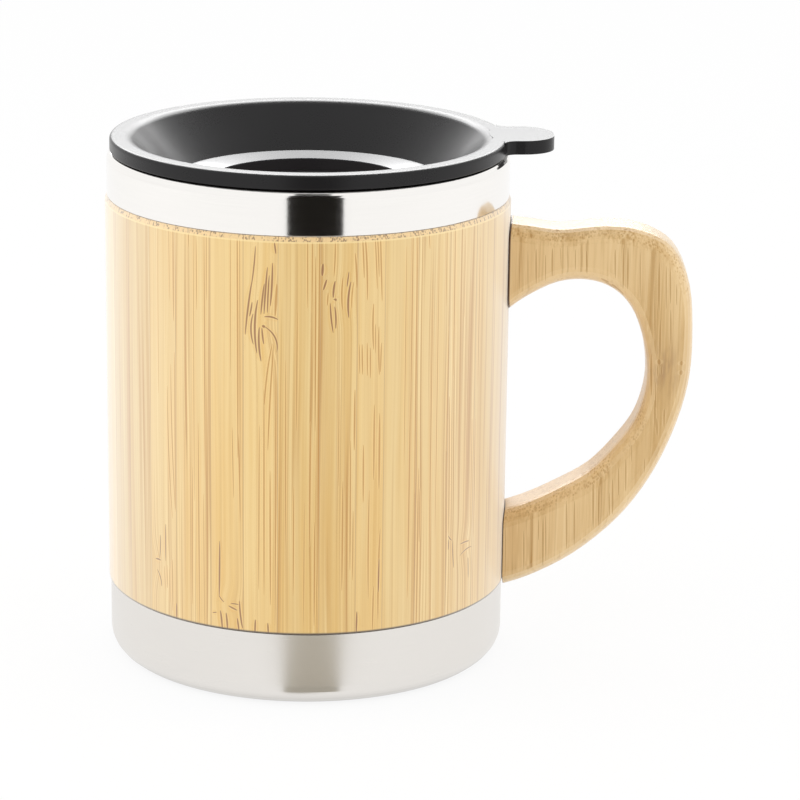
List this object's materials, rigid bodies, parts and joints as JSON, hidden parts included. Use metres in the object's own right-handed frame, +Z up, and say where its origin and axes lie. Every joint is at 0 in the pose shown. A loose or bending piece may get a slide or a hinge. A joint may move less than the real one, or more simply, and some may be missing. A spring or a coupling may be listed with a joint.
{
  "type": "bamboo travel mug",
  "caption": "Double-walled steel travel mug clad in upright bamboo staves, with a bamboo D-shaped handle and a black push-in lid that has a lift tab and a turning shutter.",
  "frame": {"origin": "centre of the foot ring, on the plane that the mug stands on", "axes": "+Z up along the mug's axis, +X towards the handle, -Y towards the drink port"},
  "size_m": [0.1165, 0.08, 0.105],
  "materials": {
    "sleeve_bamboo": "clear satin lacquer on pale honey bamboo, thin glue lines",
    "handle_bamboo": "clear satin lacquer on tan bamboo, speckled end grain",
    "polished_steel": "mirror polished stainless steel",
    "satin_steel": "satin stainless steel",
    "screw_steel": "plain zinc-plated steel",
    "black_plastic": "moulded black plastic, smooth",
    "clip_plastic": "moulded grey plastic",
    "silicone": "translucent white silicone, matte"
  },
  "bodies": {
    "mug": {"inner_cup": "satin_steel", "outer_shell": "polished_steel", "shell_floor": "satin_steel", "base_cup": "satin_steel", "handle": "handle_bamboo", "handle_screw_upper": "screw_steel", "handle_screw_lower": "screw_steel", "stave_01": "sleeve_bamboo", "stave_02": "sleeve_bamboo", "stave_03": "sleeve_bamboo", "stave_04": "sleeve_bamboo", "stave_05": "sleeve_bamboo", "stave_06": "sleeve_bamboo", "stave_07": "sleeve_bamboo", "stave_08": "sleeve_bamboo", "stave_09": "sleeve_bamboo", "stave_10": "sleeve_bamboo", "stave_11": "sleeve_bamboo", "stave_12": "sleeve_bamboo", "stave_13": "sleeve_bamboo", "stave_14": "sleeve_bamboo", "stave_15": "sleeve_bamboo", "stave_16": "sleeve_bamboo", "stave_17": "sleeve_bamboo", "stave_18": "sleeve_bamboo", "stave_19": "sleeve_bamboo", "stave_20": "sleeve_bamboo", "stave_21": "sleeve_bamboo", "stave_22": "sleeve_bamboo", "stave_23": "sleeve_bamboo", "stave_24": "sleeve_bamboo", "stave_25": "sleeve_bamboo", "stave_26": "sleeve_bamboo", "stave_27": "sleeve_bamboo", "stave_28": "sleeve_bamboo", "stave_29": "sleeve_bamboo", "stave_30": "sleeve_bamboo", "stave_31": "sleeve_bamboo", "stave_32": "sleeve_bamboo", "stave_33": "sleeve_bamboo", "stave_34": "sleeve_bamboo", "stave_35": "sleeve_bamboo", "stave_36": "sleeve_bamboo"},
    "lid": {"lid_body": "black_plastic", "lid_seal": "silicone", "port_seal": "silicone"},
    "shutter": {"shutter_disc": "black_plastic", "shutter_clip": "clip_plastic"}
  },
  "joints": [
    {"name": "lid_lift", "type": "slide", "parent": "mug", "child": "lid", "axis": [0, 0, 1], "range_m": [0, 0.03]},
    {"name": "shutter_turn", "type": "hinge", "parent": "lid", "child": "shutter", "pos_m": [0, 0, 0.093], "axis": [0, 0, 1], "range_deg": [0, 55]}
  ]
}
